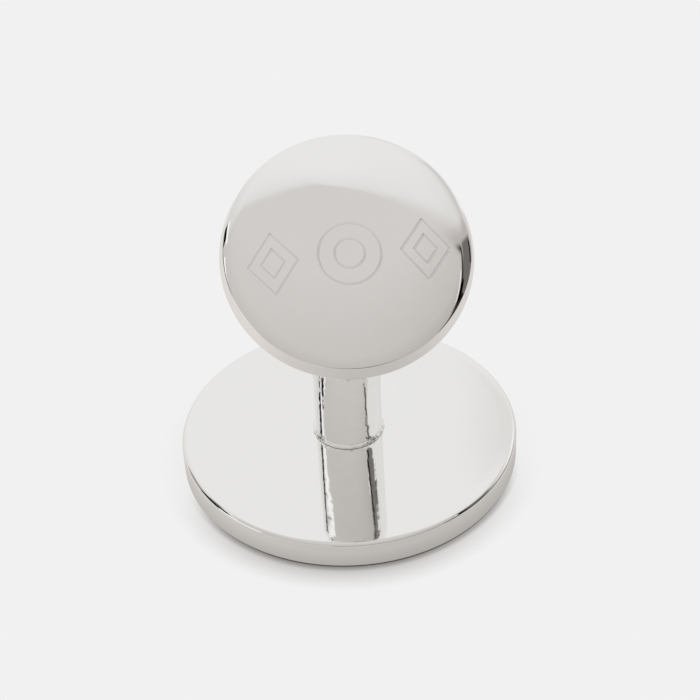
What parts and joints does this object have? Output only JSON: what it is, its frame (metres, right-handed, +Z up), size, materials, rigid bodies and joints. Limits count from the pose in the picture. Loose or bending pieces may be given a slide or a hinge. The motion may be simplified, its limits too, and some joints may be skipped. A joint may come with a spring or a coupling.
{
  "type": "cufflink",
  "caption": "Fixed-back cufflink standing on its flat round face, with a solid curved post and a small domed back button engraved with plain geometric outlines.",
  "frame": {"origin": "centre of the round face's front, on the surface that the cufflink rests on", "axes": "+Z up, along the post where it leaves the face; the post bends towards -Y; +X to the right, seen from the side that the button is tipped to"},
  "size_m": [0.0181, 0.019, 0.0203],
  "materials": {
    "face_plate": "mirror-polished silver-coloured plating",
    "post_plate": "polished silver-coloured plating, lightly uneven from hand finishing, with a thin round of solder at each end",
    "button_plate": "mirror-polished silver-coloured plating with a fine engraved line"
  },
  "bodies": {
    "root": {"front_disc": "face_plate", "post": "post_plate", "back_button": "button_plate"}
  },
  "joints": []
}
